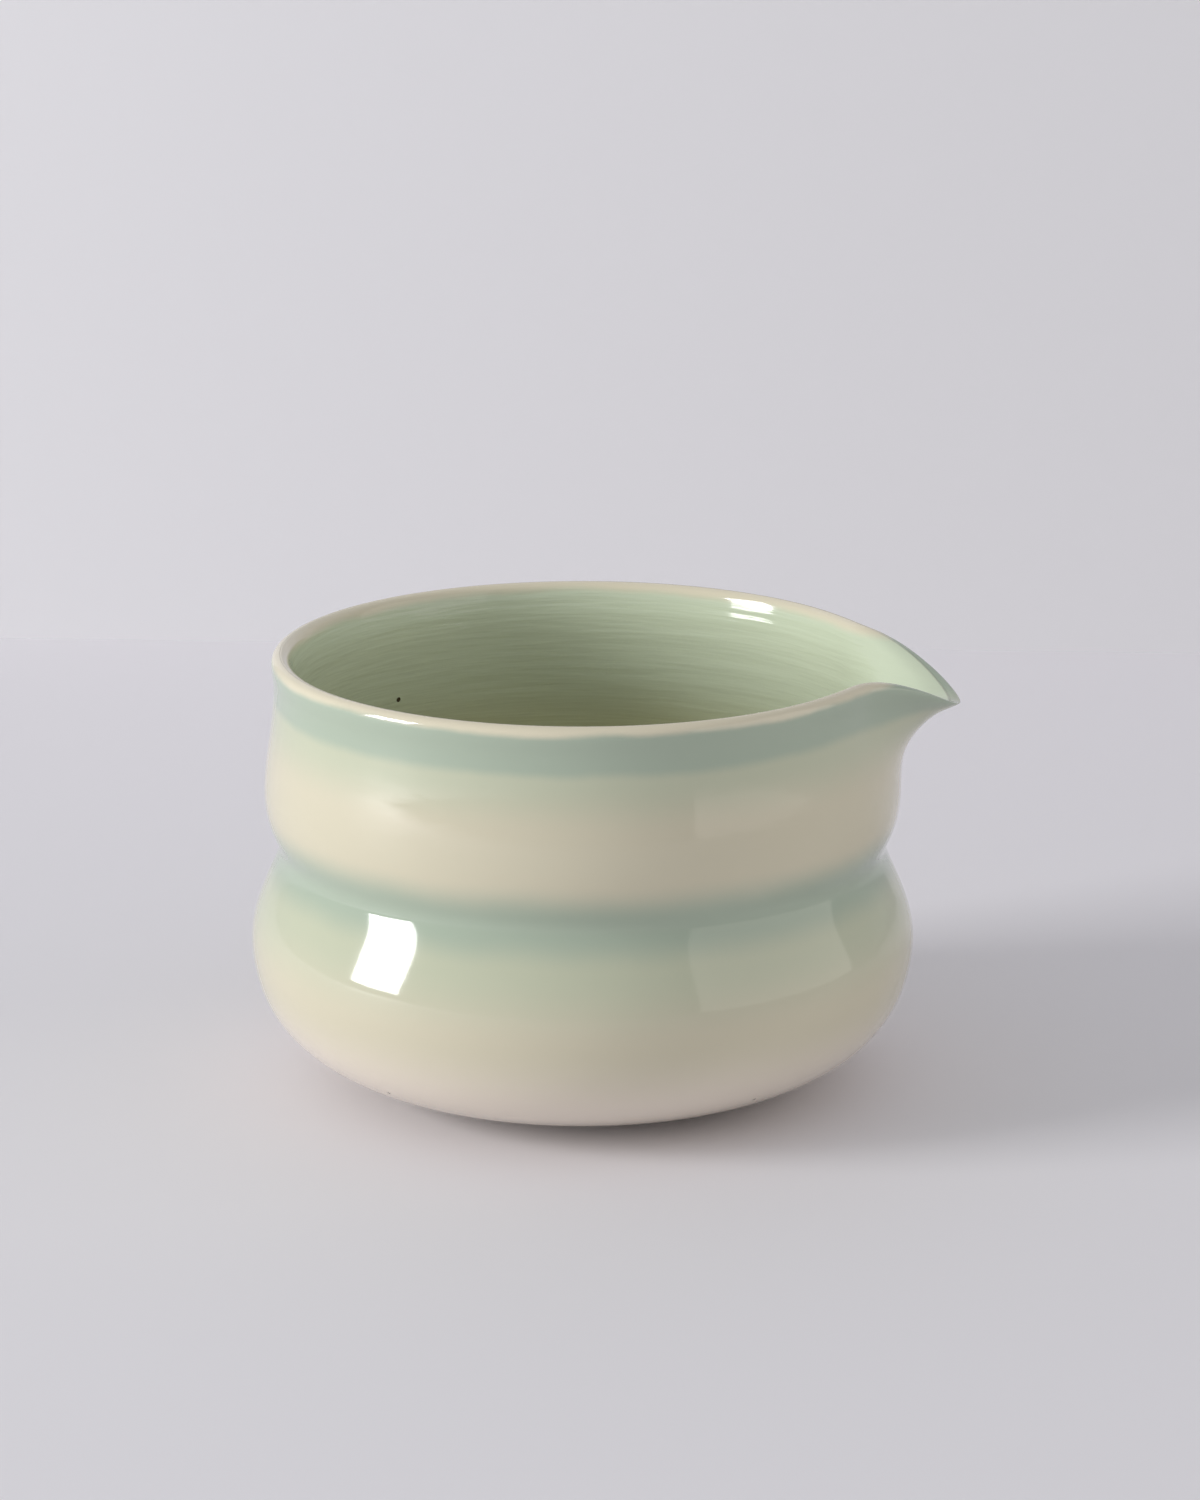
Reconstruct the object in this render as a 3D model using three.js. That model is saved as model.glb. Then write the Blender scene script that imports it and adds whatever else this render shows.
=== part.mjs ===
// Spouted tea bowl: one thrown and trimmed clay body under three coats of glaze.
// Units are millimetres, +Z is up, the spout points along +X.
import * as THREE from "three";

// Driving sizes of the thrown form
const height = 76;
const belly_radius = 58.0;
const belly_height = 25.5;
const waist_radius = 52.4;
const waist_height = 41.8;
const bulge_radius = 55.3;
const bulge_height = 51.5;
const neck_radius = 53.1;
const neck_height = 70.2;
const lip_radius = 53.7;
const wall = 3.4;
const floor_thickness = 5.0;

// Foot ring
const foot_radius = 24.5;
const foot_width = 4.0;
const foot_bevel = 0.4;
const foot_stand = 1.3;

// Coats of glaze
const glaze = 0.5;
const lip_glaze = 0.3;
const liner = 0.4;
const well_glaze = 0.4;

// Pulled spout
const spout_half_angle = THREE.MathUtils.degToRad(24.5);
const spout_throw = 11.6;
const spout_drop = 8.4;
const spout_depth = 20;
const spout_fall = 1.5;
const spout_side_power = 1.3;
const spout_drop_power = 2.05;
const spout_tip_round = 0.24;
const spout_wall_gain = 0.75;

// Angles of the columns, closer together at the spout
function columnAngles() {
  const angles = [];
  const near = THREE.MathUtils.degToRad(28);
  const near_steps = 14;
  const far_steps = 32;
  for (let i = 0; i < near_steps; i += 1) {
    angles.push(-near + (2 * near * i) / near_steps);
  }
  for (let i = 0; i < far_steps; i += 1) {
    angles.push(near + ((2 * Math.PI - 2 * near) * i) / far_steps);
  }
  return angles;
}

// A cubic curve between two profile points, without its last point
function cubic(p0, p1, p2, p3, steps) {
  const points = [];
  for (let i = 0; i < steps; i += 1) {
    const t = i / steps;
    const u = 1 - t;
    const weights = [u * u * u, 3 * u * u * t, 3 * u * t * t, t * t * t];
    const r = weights[0] * p0[0] + weights[1] * p1[0] + weights[2] * p2[0] + weights[3] * p3[0];
    const z = weights[0] * p0[1] + weights[1] * p1[1] + weights[2] * p2[1] + weights[3] * p3[1];
    points.push([r, z]);
  }
  return points;
}

// Outside of the glaze from the foot ring up to the shoulder of the lip
const lip_half = wall / 2;
const lip_start = height - lip_half;
const skin = [
  ...cubic([foot_radius, foot_stand], [foot_radius + 4, foot_stand + 0.1],
    [belly_radius, belly_height - 24], [belly_radius, belly_height], 8),
  ...cubic([belly_radius, belly_height], [belly_radius, belly_height + 6],
    [waist_radius, waist_height - 2], [waist_radius, waist_height], 4),
  ...cubic([waist_radius, waist_height], [waist_radius, waist_height + 1.9],
    [bulge_radius, bulge_height - 5.9], [bulge_radius, bulge_height], 3),
  ...cubic([bulge_radius, bulge_height], [bulge_radius, bulge_height + 6],
    [neck_radius, neck_height - 7.5], [neck_radius, neck_height], 3),
  ...cubic([neck_radius, neck_height], [neck_radius, neck_height + 1.5],
    [lip_radius, lip_start - 1.2], [lip_radius, lip_start], 2),
  [lip_radius, lip_start],
];

// The skin moved inward by a thickness
function inset(index, thickness) {
  const before = skin[Math.max(index - 1, 0)];
  const after = skin[Math.min(index + 1, skin.length - 1)];
  const length = Math.hypot(after[0] - before[0], after[1] - before[1]);
  const normal_r = (after[1] - before[1]) / length;
  const normal_z = -(after[0] - before[0]) / length;
  return [skin[index][0] - thickness * normal_r, skin[index][1] - thickness * normal_z];
}

// A quarter round of the lip between its side and its crest
const lip_centre = lip_radius - lip_half;
function lipRound(side, side_radius, crest_radius, steps) {
  const points = [];
  for (let i = 0; i <= steps; i += 1) {
    const turn = (Math.PI / 2) * (i / steps);
    points.push([lip_centre + side * side_radius * Math.cos(turn), lip_start + crest_radius * Math.sin(turn)]);
  }
  return points;
}

const lip_steps = 3;
const last = skin.length - 1;
const outer_face = [...skin.slice(0, last), ...lipRound(1, lip_half, lip_half, lip_steps)];
const under_glaze = [[foot_radius, foot_stand + glaze]];
for (let i = 1; i < last; i += 1) {
  under_glaze.push(inset(i, glaze));
}
under_glaze.push(...lipRound(1, lip_half - glaze, lip_half - lip_glaze, lip_steps));

// Inside faces run from the crest of the lip down to the middle of the floor
const floor_top = foot_stand + floor_thickness;
function insideFace(thickness, side_radius, crest_radius) {
  const points = lipRound(-1, side_radius, crest_radius, lip_steps).reverse();
  for (let i = last - 1; i > 2; i -= 1) {
    const low = THREE.MathUtils.clamp((belly_height - skin[i][1]) / belly_height, 0, 1);
    points.push(inset(i, thickness + (floor_thickness - wall) * low));
  }
  const lowest = points[points.length - 1];
  const middle = floor_top - (wall - thickness);
  points.push([lowest[0] * 0.6, (lowest[1] + middle) / 2]);
  points.push([0, middle]);
  return points;
}
const inner_face = insideFace(wall, lip_half, lip_half);
const under_liner = insideFace(wall - liner, lip_half - liner, lip_half - lip_glaze);

// Joint of the two coats on the crest of the lip
const crest_joint = [[lip_centre, height - lip_glaze], [lip_centre, height]];

// Foot ring and its recess
const well_radius = foot_radius - foot_width;
const well_top = foot_stand + 0.3;
const glaze_edge = [[foot_radius, foot_stand], [foot_radius, foot_stand + glaze]];
const foot_ring = [
  [foot_radius, foot_stand],
  [foot_radius, foot_bevel],
  [foot_radius - foot_bevel, 0],
  [well_radius + foot_bevel, 0],
  [well_radius, foot_bevel],
  [well_radius, well_top - well_glaze],
];
const well_edge = [[well_radius, well_top - well_glaze], [well_radius, well_top]];
const well_clay = [[well_radius, well_top], [well_radius / 2, well_top], [0, well_top]];
const well_face = well_clay.map(([r, z]) => [r, z - well_glaze]);

// Pull of the spout on a profile point
const angles = columnAngles();
function pull(angle, r, z) {
  const turn = Math.abs(Math.atan2(Math.sin(angle), Math.cos(angle)));
  const share = Math.min(turn / spout_half_angle, 1);
  const round = spout_tip_round;
  const side = (Math.hypot(share, round) - round) / (Math.hypot(1, round) - round);
  const lobe = Math.pow(Math.max(1 - side, 0), spout_side_power);
  const dip = Math.pow(Math.max(1 - side, 0), spout_drop_power);
  const level = Math.pow(THREE.MathUtils.clamp(1 - (height - z) / spout_depth, 0, 1), spout_fall);
  const thicker = (r - lip_centre) * spout_wall_gain * lobe * level;
  return [r + spout_throw * lobe * level + thicker, z - spout_drop * dip * level];
}

// The bowl's axis stands a little behind the middle of its bounding box
const tip_radius = pull(0, lip_radius, lip_start)[0];
const axis_shift = (belly_radius - tip_radius) / 2;

function place(angle, point) {
  const [r, z] = pull(angle, point[0], point[1]);
  return [r * Math.cos(angle) + axis_shift, r * Math.sin(angle), z];
}

// One closed body from curves turned about the axis
function turned(name, colour, curves) {
  const positions = [];
  const count = angles.length;
  for (const [curve, outward] of curves) {
    for (let k = 0; k + 1 < curve.length; k += 1) {
      for (let j = 0; j < count; j += 1) {
        const here = angles[j];
        const next = angles[(j + 1) % count];
        const a = place(here, curve[k]);
        const b = place(next, curve[k]);
        const c = place(next, curve[k + 1]);
        const d = place(here, curve[k + 1]);
        const triangles = [];
        if (curve[k][0] > 0) {
          triangles.push([a, b, c]);
        }
        if (curve[k + 1][0] > 0) {
          triangles.push([a, c, d]);
        }
        for (const triangle of triangles) {
          const ordered = outward ? triangle : [triangle[0], triangle[2], triangle[1]];
          for (const corner of ordered) {
            positions.push(...corner);
          }
        }
      }
    }
  }
  const geometry = new THREE.BufferGeometry();
  geometry.setAttribute("position", new THREE.Float32BufferAttribute(positions, 3));
  geometry.computeVertexNormals();
  const material = new THREE.MeshStandardMaterial({ color: colour, roughness: 0.3, metalness: 0 });
  const mesh = new THREE.Mesh(geometry, material);
  mesh.name = name;
  return mesh;
}

const bowl = new THREE.Group();
bowl.name = "tea_bowl";

bowl.add(turned("clay_body", 0xd9cfc0, [
  [under_glaze, true],
  [under_liner, true],
  [glaze_edge, true],
  [foot_ring, false],
  [well_edge, false],
  [well_clay, false],
]));

bowl.add(turned("outer_glaze", 0xdcdcca, [
  [outer_face, true],
  [under_glaze, false],
  [crest_joint, false],
  [glaze_edge, false],
]));

bowl.add(turned("liner_glaze", 0x9fb08a, [
  [inner_face, true],
  [under_liner, false],
  [crest_joint, true],
]));

bowl.add(turned("foot_well_glaze", 0xdcdcca, [
  [well_face, false],
  [well_clay, true],
  [well_edge, true],
]));

export default bowl;
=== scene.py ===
"""Spouted tea bowl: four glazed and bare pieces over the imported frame, on a plain pale stage."""

import math

import bpy
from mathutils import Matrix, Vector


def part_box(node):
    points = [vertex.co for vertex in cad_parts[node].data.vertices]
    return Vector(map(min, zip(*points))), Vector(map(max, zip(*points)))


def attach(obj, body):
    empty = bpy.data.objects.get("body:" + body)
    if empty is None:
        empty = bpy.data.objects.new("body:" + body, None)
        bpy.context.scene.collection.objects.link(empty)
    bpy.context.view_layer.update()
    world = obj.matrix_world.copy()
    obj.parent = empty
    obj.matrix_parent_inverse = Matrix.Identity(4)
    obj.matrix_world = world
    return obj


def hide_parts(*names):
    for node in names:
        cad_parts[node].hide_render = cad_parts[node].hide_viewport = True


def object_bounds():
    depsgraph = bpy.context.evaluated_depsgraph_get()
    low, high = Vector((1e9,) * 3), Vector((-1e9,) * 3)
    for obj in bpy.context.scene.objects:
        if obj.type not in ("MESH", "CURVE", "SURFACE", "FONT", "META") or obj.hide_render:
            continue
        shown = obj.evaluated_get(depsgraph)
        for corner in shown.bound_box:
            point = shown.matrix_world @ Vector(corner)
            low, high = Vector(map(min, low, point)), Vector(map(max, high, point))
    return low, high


bl_info = {
    "name": "Spouted Tea Bowl",
    "version": (1, 0, 0),
    "blender": (4, 5, 0),
    "location": "View3D > Sidebar > Tea Bowl",
    "description": "Builds a glazed spouted tea bowl and its stage",
    "category": "Object",
}

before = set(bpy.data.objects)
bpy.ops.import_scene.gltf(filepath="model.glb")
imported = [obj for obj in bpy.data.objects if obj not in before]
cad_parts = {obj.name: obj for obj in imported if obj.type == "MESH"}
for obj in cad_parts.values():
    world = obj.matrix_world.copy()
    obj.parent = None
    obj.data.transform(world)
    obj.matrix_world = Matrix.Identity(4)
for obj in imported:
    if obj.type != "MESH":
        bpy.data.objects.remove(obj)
cad_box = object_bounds()
bowl_height = cad_box[1][2]

# The recess under the foot is centred on the bowl's axis
well_low, well_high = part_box("foot_well_glaze")
bowl_axis_x = (well_low[0] + well_high[0]) / 2

# Smoothing of the pieces
merge_distance = 0.000005
pole_reach = 0.002
quad_angle = math.radians(60)
square_edge_angle = math.radians(62)

# Wandering edge of the glaze bands. Its width is a share of the bowl's height.
wander_scale = 55.0
wander_detail = 4.0
wander_width = 0.03

# Iron specks, and the marks that throwing leaves
speck_spacing = 60.0
marks_scale = 30.0
marks_detail = 3.0
marks_depth = 0.001

# Clear gloss over both coats of glaze on the wall
gloss_weight = 0.3
gloss_roughness = 0.03

# Stage
floor_side = 6.0
board_side = 0.44
board_behind = 0.31
paper_roughness = 0.7
room_colour = (0.93, 0.95, 1.0, 1.0)
window_place = (-1.6, -0.56, 0.55)
window_turn = (math.radians(76), 0.0, math.radians(-70.7))
window_width = 0.62
window_height = 0.8
bounce_place = (1.0, -0.42, 0.5)
bounce_turn = (0.0, math.radians(90), 0.0)
bounce_height = 1.0
bounce_length = 1.35
bounce_colour = (1.0, 0.93, 0.84)

# Camera
sensor_width = 36.0
lens = 139.7
shift_x = 0.015
shift_y = -0.084


def tint(name, description, default):
    """A colour that the panel shows as a swatch."""
    return bpy.props.FloatVectorProperty(
        name=name, description=description, subtype="COLOR", default=default
    )


def metres(name, description, default):
    """A length in metres."""
    return bpy.props.FloatProperty(
        name=name, description=description, unit="LENGTH", precision=4, default=default
    )


def degrees(name, description, default):
    """An angle, given here in degrees and kept in radians."""
    return bpy.props.FloatProperty(
        name=name, description=description, unit="ROTATION", default=math.radians(default)
    )


def watts(name, description, default):
    """The power of a light in watts."""
    return bpy.props.FloatProperty(
        name=name, description=description, unit="POWER", default=default
    )


class TeaBowlPieces(bpy.types.PropertyGroup):
    """Sizes and glaze colours of the bowl"""

    height: metres("Height", "From the table to the lip", bowl_height)
    axis_x: metres("Bowl axis", "Where the bowl's axis stands along X", bowl_axis_x)
    levels: bpy.props.IntProperty(
        name="Smoothing levels",
        description="Times that each face is divided",
        default=2,
        min=0,
        max=3,
    )
    cream: tint("Cream", "Glaze on the bulge and the belly", (0.62, 0.575, 0.43))
    low_cream: tint("Low belly", "Glaze just above the foot", (0.76, 0.68, 0.58))
    teal: tint("Teal", "Thick glaze under the lip and in the waist", (0.39, 0.46, 0.36))
    waist: tint("Waist", "Glaze on both sides of a teal band", (0.52, 0.545, 0.4))
    lip: tint("Lip", "Thin glaze on the crest of the lip", (0.72, 0.66, 0.5))
    liner_light: tint("Liner, light", "Inside glaze near the lip", (0.62, 0.69, 0.52))
    liner_deep: tint("Liner, deep", "Inside glaze on the floor", (0.4, 0.36, 0.12))
    clay: tint("Bare clay", "Unglazed foot ring", (0.52, 0.42, 0.31))
    speck: tint("Iron speck", "Small dark specks in the glaze", (0.06, 0.045, 0.03))


class TeaBowlStage(bpy.types.PropertyGroup):
    """Colours, lights and camera of the stage"""

    wall: tint("Backdrop", "Board behind the bowl", (0.71, 0.7, 0.72))
    floor: tint("Floor", "Table under the bowl", (0.82, 0.8, 0.83))
    window_power: watts("Window", "Power of the large light on the left", 24.5)
    bounce_power: watts("Bounce", "Power of the warm light on the right", 3.0)
    room_strength: bpy.props.FloatProperty(
        name="Room",
        description="Strength of the light from all round",
        default=0.48,
    )
    camera_distance: metres("Camera distance", "From the lens to the middle of the rim", 0.8)
    camera_elevation: degrees("Camera elevation", "How far the camera looks down", 13.92)
    camera_azimuth: degrees("Camera azimuth", "How far the camera stands round to the spout", 3.0)


def new_group(name, inputs, output):
    """An empty node group with named sockets, and its nodes for what goes in and out."""
    group = bpy.data.node_groups.new(name, "ShaderNodeTree")
    for socket_name, kind in inputs:
        group.interface.new_socket(name=socket_name, in_out="INPUT", socket_type=kind)
    output_name, output_kind = output
    group.interface.new_socket(name=output_name, in_out="OUTPUT", socket_type=output_kind)
    return group, group.nodes.new("NodeGroupInput"), group.nodes.new("NodeGroupOutput")


def glaze_level_group():
    """Height on the bowl as a share of the whole, with a slightly wandering edge."""
    group, given, made = new_group(
        "glaze_level", [("Height", "NodeSocketFloat")], ("Level", "NodeSocketFloat")
    )
    nodes, links = group.nodes, group.links
    coords = nodes.new("ShaderNodeTexCoord")
    wander = nodes.new("ShaderNodeTexNoise")
    wander.inputs["Scale"].default_value = wander_scale
    wander.inputs["Detail"].default_value = wander_detail
    links.new(coords.outputs["Object"], wander.inputs["Vector"])
    axes = nodes.new("ShaderNodeSeparateXYZ")
    links.new(coords.outputs["Object"], axes.inputs["Vector"])
    share = nodes.new("ShaderNodeMath")
    share.operation = "DIVIDE"
    links.new(axes.outputs["Z"], share.inputs[0])
    links.new(given.outputs["Height"], share.inputs[1])
    nudge = nodes.new("ShaderNodeMath")
    nudge.operation = "MULTIPLY_ADD"
    nudge.inputs[1].default_value = wander_width
    links.new(wander.outputs["Fac"], nudge.inputs[0])
    links.new(share.outputs["Value"], nudge.inputs[2])
    settle = nodes.new("ShaderNodeMath")
    settle.operation = "SUBTRACT"
    settle.inputs[1].default_value = wander_width / 2
    links.new(nudge.outputs["Value"], settle.inputs[0])
    links.new(settle.outputs["Value"], made.inputs["Level"])
    return group


def iron_specks_group():
    """Sparse dark specks over a glaze colour."""
    sockets = [
        ("Glaze", "NodeSocketColor"),
        ("Speck", "NodeSocketColor"),
        ("Size", "NodeSocketFloat"),
    ]
    group, given, made = new_group("iron_specks", sockets, ("Color", "NodeSocketColor"))
    nodes, links = group.nodes, group.links
    coords = nodes.new("ShaderNodeTexCoord")
    cells = nodes.new("ShaderNodeTexVoronoi")
    cells.inputs["Scale"].default_value = speck_spacing
    links.new(coords.outputs["Object"], cells.inputs["Vector"])
    dots = nodes.new("ShaderNodeMath")
    dots.operation = "LESS_THAN"
    links.new(cells.outputs["Distance"], dots.inputs[0])
    links.new(given.outputs["Size"], dots.inputs[1])
    mix = nodes.new("ShaderNodeMix")
    mix.data_type = "RGBA"
    links.new(dots.outputs["Value"], mix.inputs["Factor"])
    links.new(given.outputs["Glaze"], mix.inputs["A"])
    links.new(given.outputs["Speck"], mix.inputs["B"])
    links.new(mix.outputs["Result"], made.inputs["Color"])
    return group


def throwing_marks_group():
    """A faint unevenness of the surface, drawn out round the bowl."""
    sockets = [("Strength", "NodeSocketFloat"), ("Stretch", "NodeSocketFloat")]
    group, given, made = new_group("throwing_marks", sockets, ("Normal", "NodeSocketVector"))
    nodes, links = group.nodes, group.links
    coords = nodes.new("ShaderNodeTexCoord")
    drawn = nodes.new("ShaderNodeCombineXYZ")
    drawn.inputs["X"].default_value = 1.0
    drawn.inputs["Y"].default_value = 1.0
    links.new(given.outputs["Stretch"], drawn.inputs["Z"])
    spread = nodes.new("ShaderNodeMapping")
    links.new(coords.outputs["Object"], spread.inputs["Vector"])
    links.new(drawn.outputs["Vector"], spread.inputs["Scale"])
    uneven = nodes.new("ShaderNodeTexNoise")
    uneven.inputs["Scale"].default_value = marks_scale
    uneven.inputs["Detail"].default_value = marks_detail
    links.new(spread.outputs["Vector"], uneven.inputs["Vector"])
    bump = nodes.new("ShaderNodeBump")
    bump.inputs["Distance"].default_value = marks_depth
    links.new(given.outputs["Strength"], bump.inputs["Strength"])
    links.new(uneven.outputs["Fac"], bump.inputs["Height"])
    links.new(bump.outputs["Normal"], made.inputs["Normal"])
    return group


group_makers = {
    "glaze_level": glaze_level_group,
    "iron_specks": iron_specks_group,
    "throwing_marks": throwing_marks_group,
}


def place_group(material, name, values):
    """The named node group in a material, with its own values. It is built the first time."""
    node = material.node_tree.nodes.new("ShaderNodeGroup")
    node.node_tree = bpy.data.node_groups.get(name) or group_makers[name]()
    for socket_name, value in values.items():
        node.inputs[socket_name].default_value = value
    return node


def new_material(name, roughness):
    """A material, and its shader with a plain roughness."""
    material = bpy.data.materials.new(name)
    material.use_nodes = True
    shader = material.node_tree.nodes["Principled BSDF"]
    shader.inputs["Roughness"].default_value = roughness
    return material, shader


def add_throwing_marks(material, shader, strength, stretch):
    """Throwing marks on the surface of a material."""
    marks = place_group(material, "throwing_marks", {"Strength": strength, "Stretch": stretch})
    material.node_tree.links.new(marks.outputs["Normal"], shader.inputs["Normal"])


def add_banded_colour(material, shader, bowl, stops, speck_size):
    """Glaze colours that follow height on the bowl, with iron specks in them."""
    nodes, links = material.node_tree.nodes, material.node_tree.links
    level = place_group(material, "glaze_level", {"Height": bowl.height})
    bands = nodes.new("ShaderNodeValToRGB")
    bands.color_ramp.interpolation = "EASE"
    ramp = bands.color_ramp.elements
    ramp[0].position = stops[0][0]
    ramp[0].color = (*stops[0][1], 1.0)
    ramp[1].position = stops[-1][0]
    ramp[1].color = (*stops[-1][1], 1.0)
    for position, colour in stops[1:-1]:
        stop = ramp.new(position)
        stop.color = (*colour, 1.0)
    links.new(level.outputs["Level"], bands.inputs["Fac"])
    speck_values = {"Speck": (*bowl.speck, 1.0), "Size": speck_size}
    specks = place_group(material, "iron_specks", speck_values)
    links.new(bands.outputs["Color"], specks.inputs["Glaze"])
    links.new(specks.outputs["Color"], shader.inputs["Base Color"])


def add_gloss_coat(shader):
    """The clear gloss that lies over a coat of glaze."""
    shader.inputs["Coat Weight"].default_value = gloss_weight
    shader.inputs["Coat Roughness"].default_value = gloss_roughness


def outer_glaze_material(bowl):
    """Cream glaze that turns teal where it lies thick, under the lip and in the waist."""
    material, shader = new_material("banded_glaze", roughness=0.08)
    stops = [
        (0.0, bowl.low_cream),
        (0.12, bowl.low_cream),
        (0.3, bowl.cream),
        (0.46, bowl.waist),
        (0.53, bowl.teal),
        (0.57, bowl.teal),
        (0.66, bowl.cream),
        (0.76, bowl.cream),
        (0.88, bowl.waist),
        (0.91, bowl.teal),
        (0.975, bowl.teal),
        (0.992, bowl.lip),
        (1.0, bowl.lip),
    ]
    add_banded_colour(material, shader, bowl, stops, speck_size=0.022)
    add_throwing_marks(material, shader, strength=0.12, stretch=4.0)
    add_gloss_coat(shader)
    return material


def liner_glaze_material(bowl):
    """Green glaze, deeper and more olive towards the floor, with stronger throwing marks."""
    material, shader = new_material("green_liner", roughness=0.1)
    stops = [
        (0.1, bowl.liner_deep),
        (0.5, bowl.liner_deep),
        (0.8, bowl.liner_light),
        (0.97, bowl.liner_light),
        (0.992, bowl.lip),
        (1.0, bowl.lip),
    ]
    add_banded_colour(material, shader, bowl, stops, speck_size=0.03)
    add_throwing_marks(material, shader, strength=0.3, stretch=14.0)
    add_gloss_coat(shader)
    return material


def bare_clay_material(bowl):
    """Dry unglazed clay."""
    material, shader = new_material("bare_clay", roughness=0.75)
    shader.inputs["Base Color"].default_value = (*bowl.clay, 1.0)
    add_throwing_marks(material, shader, strength=0.3, stretch=1.0)
    return material


def recess_glaze_material(bowl):
    """Plain cream glaze."""
    material, shader = new_material("recess_glaze", roughness=0.1)
    shader.inputs["Base Color"].default_value = (*bowl.cream, 1.0)
    add_throwing_marks(material, shader, strength=0.12, stretch=1.0)
    return material


def pale_paper_material(name, colour):
    """Matt paper for the stage."""
    material, shader = new_material(name, paper_roughness)
    shader.inputs["Base Color"].default_value = (*colour, 1.0)
    return material


def copy_frame_node(node, name):
    """A copy of a frame node as the active object, with its doubles merged."""
    bpy.ops.object.select_all(action="DESELECT")
    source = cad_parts[node]
    source.select_set(True)
    bpy.context.view_layer.objects.active = source
    bpy.ops.object.duplicate()
    piece = bpy.context.view_layer.objects.active
    piece.name = name
    piece.data.name = name
    bpy.ops.object.mode_set(mode="EDIT")
    bpy.ops.mesh.select_all(action="SELECT")
    bpy.ops.mesh.remove_doubles(threshold=merge_distance)
    bpy.ops.mesh.select_all(action="DESELECT")
    bpy.ops.mesh.select_mode(type="FACE")
    bpy.ops.object.mode_set(mode="OBJECT")
    return piece


def turn_to_quads(piece, axis_x):
    """Triangles become quads, but not those that meet at a pole on the axis."""
    corners = piece.data.vertices
    for face in piece.data.polygons:
        reach = min(
            math.hypot(corners[i].co.x - axis_x, corners[i].co.y) for i in face.vertices
        )
        face.select = reach > pole_reach
    bpy.ops.object.mode_set(mode="EDIT")
    bpy.ops.mesh.tris_convert_to_quads(face_threshold=quad_angle, shape_threshold=quad_angle)
    bpy.ops.object.mode_set(mode="OBJECT")


def crease_square_edges():
    """The edges where faces of the active object meet squarely stay sharp."""
    bpy.ops.object.mode_set(mode="EDIT")
    bpy.ops.mesh.select_all(action="DESELECT")
    bpy.ops.mesh.select_mode(type="EDGE")
    bpy.ops.mesh.edges_select_sharp(sharpness=square_edge_angle)
    bpy.ops.transform.edge_crease(value=1.0)
    bpy.ops.object.mode_set(mode="OBJECT")


def smooth_piece(node, name, material, bowl):
    """A smooth quad copy of a frame node, which stands for it."""
    piece = copy_frame_node(node, name)
    turn_to_quads(piece, bowl.axis_x)
    crease_square_edges()
    bpy.ops.object.shade_smooth()
    piece.data.materials.clear()
    piece.data.materials.append(material)
    smoothing = piece.modifiers.new("Smooth", "SUBSURF")
    smoothing.levels = bowl.levels
    smoothing.render_levels = bowl.levels
    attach(piece, "root")
    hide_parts(node)


class TEABOWL_OT_clay(bpy.types.Operator):
    """Thrown clay body with its bare foot ring"""

    bl_idname = "teabowl.clay"
    bl_label = "Clay Body"

    def execute(self, context):
        bowl = context.scene.tea_bowl_pieces
        material = bare_clay_material(bowl)
        smooth_piece("clay_body", "clay_body_piece", material, bowl)
        return {"FINISHED"}


class TEABOWL_OT_outer_glaze(bpy.types.Operator):
    """Banded glaze on the outside, from the foot to the crest of the lip"""

    bl_idname = "teabowl.outer_glaze"
    bl_label = "Outer Glaze"

    def execute(self, context):
        bowl = context.scene.tea_bowl_pieces
        material = outer_glaze_material(bowl)
        smooth_piece("outer_glaze", "outer_glaze_piece", material, bowl)
        return {"FINISHED"}


class TEABOWL_OT_liner_glaze(bpy.types.Operator):
    """Green glaze on the inside"""

    bl_idname = "teabowl.liner_glaze"
    bl_label = "Liner Glaze"

    def execute(self, context):
        bowl = context.scene.tea_bowl_pieces
        material = liner_glaze_material(bowl)
        smooth_piece("liner_glaze", "liner_glaze_piece", material, bowl)
        return {"FINISHED"}


class TEABOWL_OT_well_glaze(bpy.types.Operator):
    """Coat of glaze in the foot's recess"""

    bl_idname = "teabowl.well_glaze"
    bl_label = "Foot Recess Glaze"

    def execute(self, context):
        bowl = context.scene.tea_bowl_pieces
        material = recess_glaze_material(bowl)
        smooth_piece("foot_well_glaze", "foot_well_glaze_piece", material, bowl)
        return {"FINISHED"}


def add_paper(context, name, material, side, location, rotation):
    """A square of the stage."""
    bpy.ops.mesh.primitive_plane_add(size=side, location=location, rotation=rotation)
    paper = context.view_layer.objects.active
    paper.name = name
    paper.data.materials.append(material)
    return paper


def add_room_light(context, strength):
    """Even light from all round."""
    world = bpy.data.worlds.new("room")
    context.scene.world = world
    world.use_nodes = True
    background = world.node_tree.nodes["Background"]
    background.inputs["Color"].default_value = room_colour
    background.inputs["Strength"].default_value = strength


def add_soft_light(context, name, location, rotation, width, height, power):
    """A rectangle of soft light."""
    bpy.ops.object.light_add(type="AREA", location=location, rotation=rotation)
    light = context.view_layer.objects.active
    light.name = name
    light.data.shape = "RECTANGLE"
    light.data.size = width
    light.data.size_y = height
    light.data.energy = power
    return light


def add_camera(context, stage, bowl):
    """The camera, aimed at the middle of the rim. Its shift sets the bowl's place in the picture."""
    turn = stage.camera_azimuth
    look_down = stage.camera_elevation
    reach = stage.camera_distance * math.cos(look_down)
    place = (
        bowl.axis_x + reach * math.sin(turn),
        -reach * math.cos(turn),
        bowl.height + stage.camera_distance * math.sin(look_down),
    )
    aim = (math.radians(90) - look_down, 0.0, turn)
    bpy.ops.object.camera_add(location=place, rotation=aim)
    camera = context.view_layer.objects.active
    camera.name = "camera"
    camera.data.sensor_fit = "HORIZONTAL"
    camera.data.sensor_width = sensor_width
    camera.data.lens = lens
    camera.data.shift_x = shift_x
    camera.data.shift_y = shift_y
    context.scene.camera = camera


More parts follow.
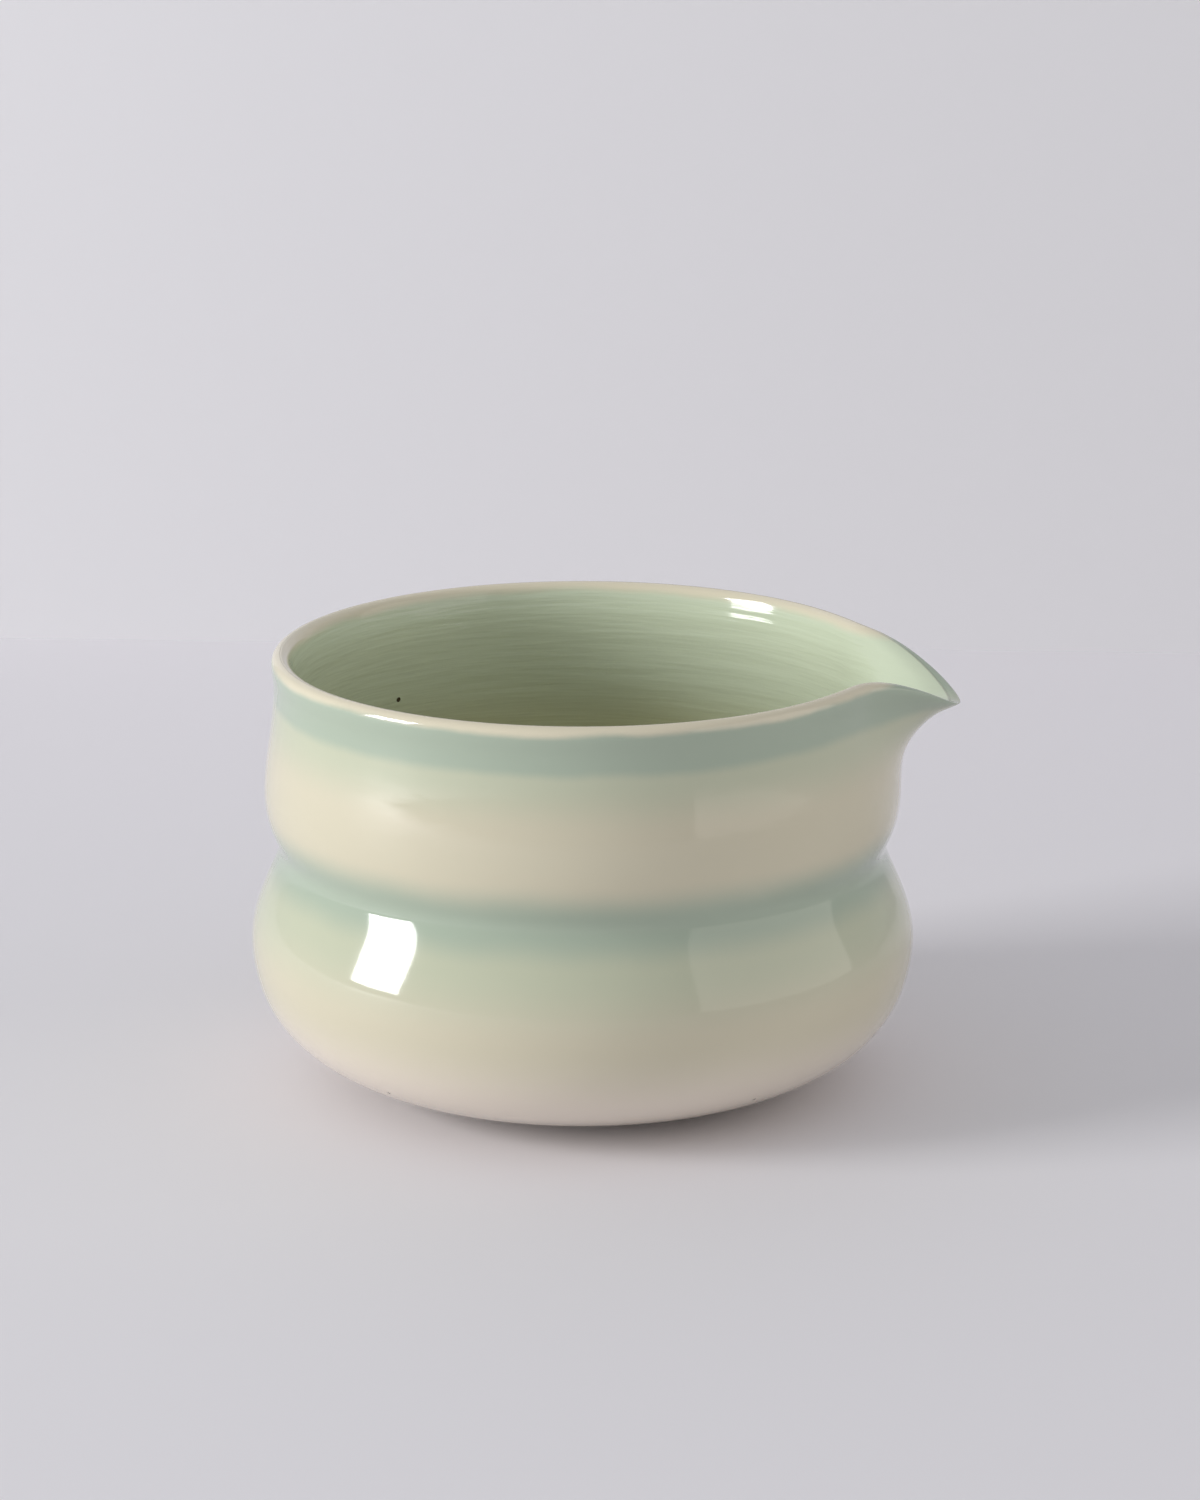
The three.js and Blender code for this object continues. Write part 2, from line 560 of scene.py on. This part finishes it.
class TEABOWL_OT_stage(bpy.types.Operator):
    """Floor, backdrop, lights and camera"""

    bl_idname = "teabowl.stage"
    bl_label = "Stage"

    def execute(self, context):
        stage = context.scene.tea_bowl_stage
        bpy.ops.object.select_all(action="DESELECT")
        floor = add_paper(
            context,
            "floor",
            pale_paper_material("pale_floor", stage.floor),
            side=floor_side,
            location=(0.0, 0.0, 0.0),
            rotation=(0.0, 0.0, 0.0),
        )
        backdrop = add_paper(
            context,
            "backdrop",
            pale_paper_material("pale_wall", stage.wall),
            side=board_side,
            location=(0.0, board_behind, board_side / 2),
            rotation=(math.radians(90), 0.0, 0.0),
        )
        add_room_light(context, stage.room_strength)
        add_soft_light(
            context,
            "window",
            location=window_place,
            rotation=window_turn,
            width=window_width,
            height=window_height,
            power=stage.window_power,
        )
        bounce = add_soft_light(
            context,
            "bounce",
            location=bounce_place,
            rotation=bounce_turn,
            width=bounce_height,
            height=bounce_length,
            power=stage.bounce_power,
        )
        bounce.data.color = bounce_colour
        add_camera(context, stage, context.scene.tea_bowl_pieces)
        context.scene.view_settings.view_transform = "Standard"
        return {"FINISHED"}


operators = (
    TEABOWL_OT_clay,
    TEABOWL_OT_outer_glaze,
    TEABOWL_OT_liner_glaze,
    TEABOWL_OT_well_glaze,
    TEABOWL_OT_stage,
)


class TEABOWL_PT_panel(bpy.types.Panel):
    """Sidebar panel of the tea bowl"""

    bl_label = "Tea Bowl"
    bl_idname = "TEABOWL_PT_panel"
    bl_space_type = "VIEW_3D"
    bl_region_type = "UI"
    bl_category = "Tea Bowl"

    def draw(self, context):
        column = self.layout.column()
        for settings in (context.scene.tea_bowl_pieces, context.scene.tea_bowl_stage):
            for name in type(settings).__annotations__:
                column.prop(settings, name)
        for operator in operators:
            column.operator(operator.bl_idname)


classes = (TeaBowlPieces, TeaBowlStage, *operators, TEABOWL_PT_panel)


def register():
    for item in classes:
        bpy.utils.register_class(item)
    bpy.types.Scene.tea_bowl_pieces = bpy.props.PointerProperty(type=TeaBowlPieces)
    bpy.types.Scene.tea_bowl_stage = bpy.props.PointerProperty(type=TeaBowlStage)


def unregister():
    del bpy.types.Scene.tea_bowl_stage
    del bpy.types.Scene.tea_bowl_pieces
    for item in reversed(classes):
        bpy.utils.unregister_class(item)


def main():
    register()
    bpy.ops.teabowl.clay()
    bpy.ops.teabowl.outer_glaze()
    bpy.ops.teabowl.liner_glaze()
    bpy.ops.teabowl.well_glaze()
    bpy.ops.teabowl.stage()
    bpy.context.view_layer.update()


if __name__ == "__main__":
    main()
